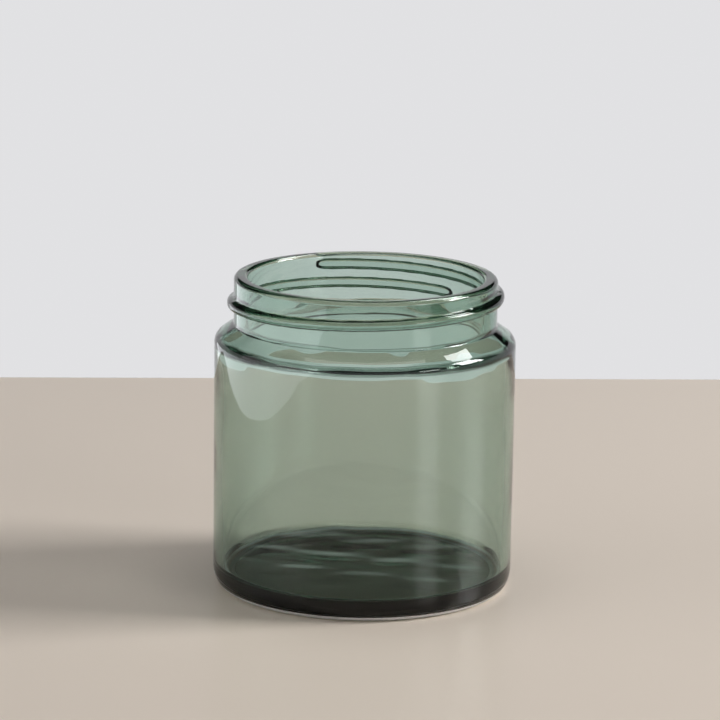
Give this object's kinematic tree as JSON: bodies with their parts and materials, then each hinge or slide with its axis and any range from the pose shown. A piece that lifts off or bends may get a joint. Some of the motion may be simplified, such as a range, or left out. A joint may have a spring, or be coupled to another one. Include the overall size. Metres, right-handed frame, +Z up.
{
  "type": "candle jar",
  "caption": "Empty round glass candle jar with a straight body, thick pushed-up base and wide screw neck, for pouring a container candle.",
  "frame": {"origin": "centre of the foot, on the plane that the jar stands on", "axes": "+Z up along the jar's axis; the upper end of the screw ridge is at the back (+Y), 24 degrees towards -X"},
  "size_m": [0.0616, 0.0616, 0.0643],
  "materials": {
    "green_glass": "fire-polished moulded glass, pale grey-green, clear"
  },
  "bodies": {
    "root": {"glass_jar": "green_glass"}
  },
  "joints": []
}
